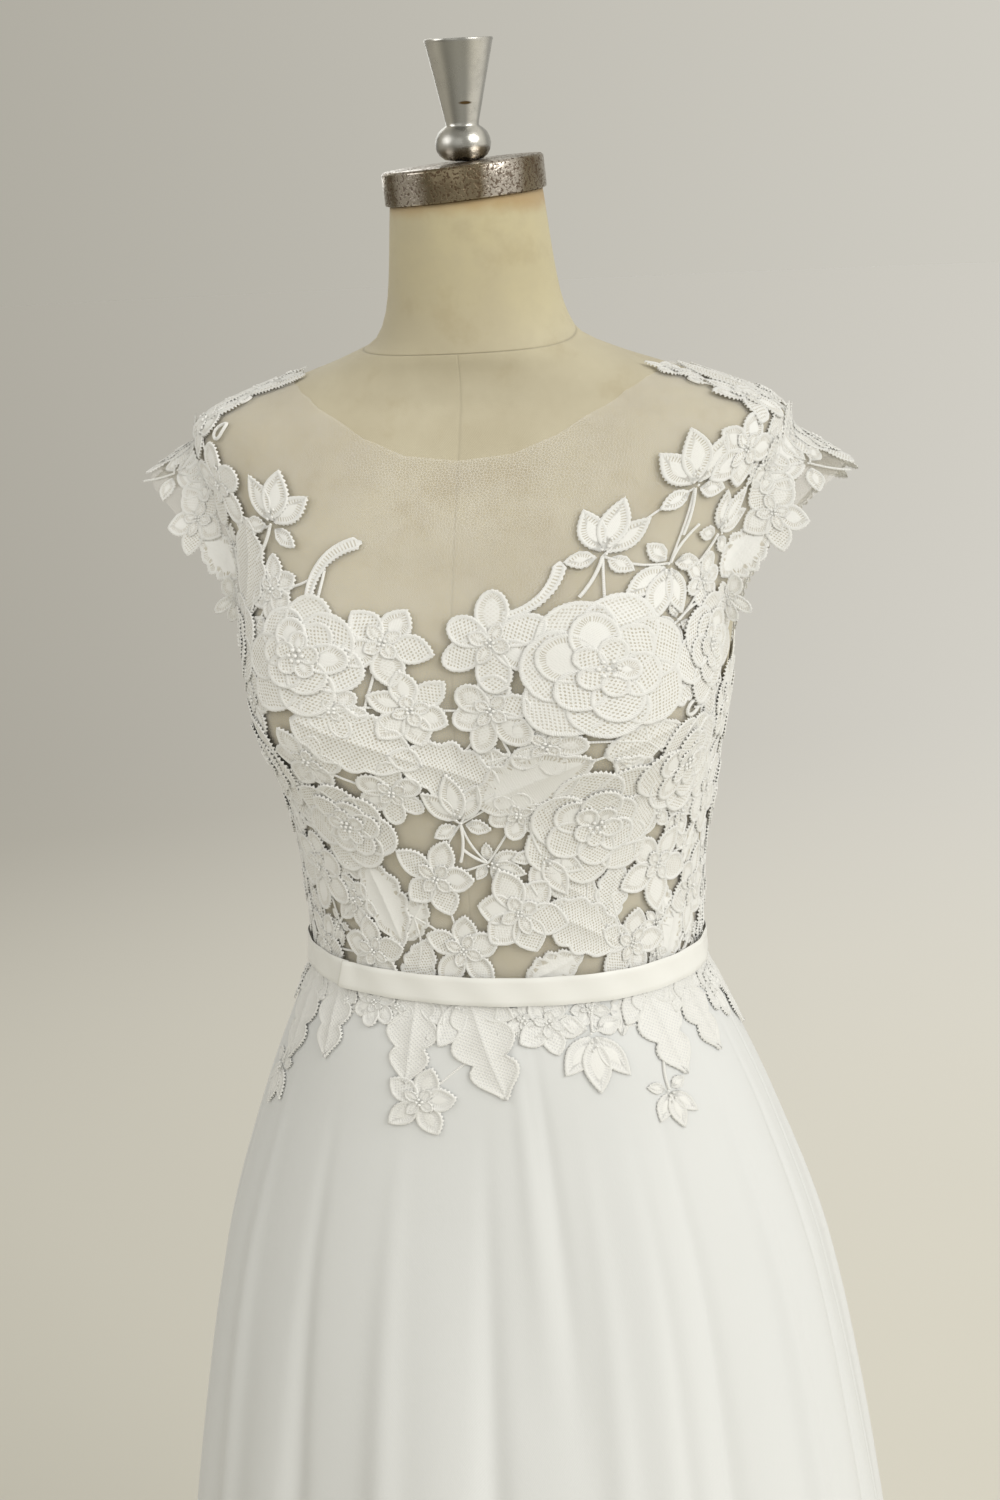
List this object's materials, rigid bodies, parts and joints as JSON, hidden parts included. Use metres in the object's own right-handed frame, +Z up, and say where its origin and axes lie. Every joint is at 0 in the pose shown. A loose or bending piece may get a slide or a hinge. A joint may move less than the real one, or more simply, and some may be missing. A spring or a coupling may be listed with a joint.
{
  "type": "wedding dress on dress form",
  "caption": "Floor-length wedding dress with cap sleeves, a sheer bodice under cut lace, a ribbon belt and a plain flared skirt, worn on a limbless dress form on a round stand.",
  "frame": {"origin": "centre of the underside of the stand base, on the floor", "axes": "+Z up, the front of the dress faces -Y, +X is at the right of a viewer who faces the front"},
  "size_m": [0.6535, 0.5976, 1.58],
  "materials": {
    "form_linen": "pale cream linen cover, matt",
    "cap_plated_metal": "worn, pitted plated band",
    "knob_aluminium": "satin turned aluminium",
    "stand_painted_metal": "semi-matt black paint",
    "net_fabric": "sheer fine net",
    "lace_fabric": "white corded lace, matt",
    "chiffon_fabric": "white chiffon, soft sheen",
    "satin_ribbon": "ivory satin"
  },
  "bodies": {
    "root": {"form_torso": "form_linen", "form_cap": "cap_plated_metal", "form_knob": "knob_aluminium", "stand_pole": "stand_painted_metal", "stand_base": "stand_painted_metal", "bodice_front": "net_fabric", "bodice_back_left": "net_fabric", "bodice_back_right": "net_fabric", "sleeve_left": "net_fabric", "sleeve_right": "net_fabric", "bodice_lace_front": "lace_fabric", "bodice_lace_back_left": "lace_fabric", "bodice_lace_back_right": "lace_fabric", "sleeve_lace_left": "lace_fabric", "sleeve_lace_right": "lace_fabric", "skirt_lace_front": "lace_fabric", "skirt_lace_back_left": "lace_fabric", "skirt_lace_back_right": "lace_fabric", "skirt_front": "chiffon_fabric", "skirt_back_left": "chiffon_fabric", "skirt_back_right": "chiffon_fabric", "belt_front": "satin_ribbon", "belt_back": "satin_ribbon", "button_1": "satin_ribbon", "button_2": "satin_ribbon", "button_3": "satin_ribbon", "button_4": "satin_ribbon", "button_5": "satin_ribbon", "button_6": "satin_ribbon", "button_7": "satin_ribbon", "button_8": "satin_ribbon"}
  },
  "joints": []
}
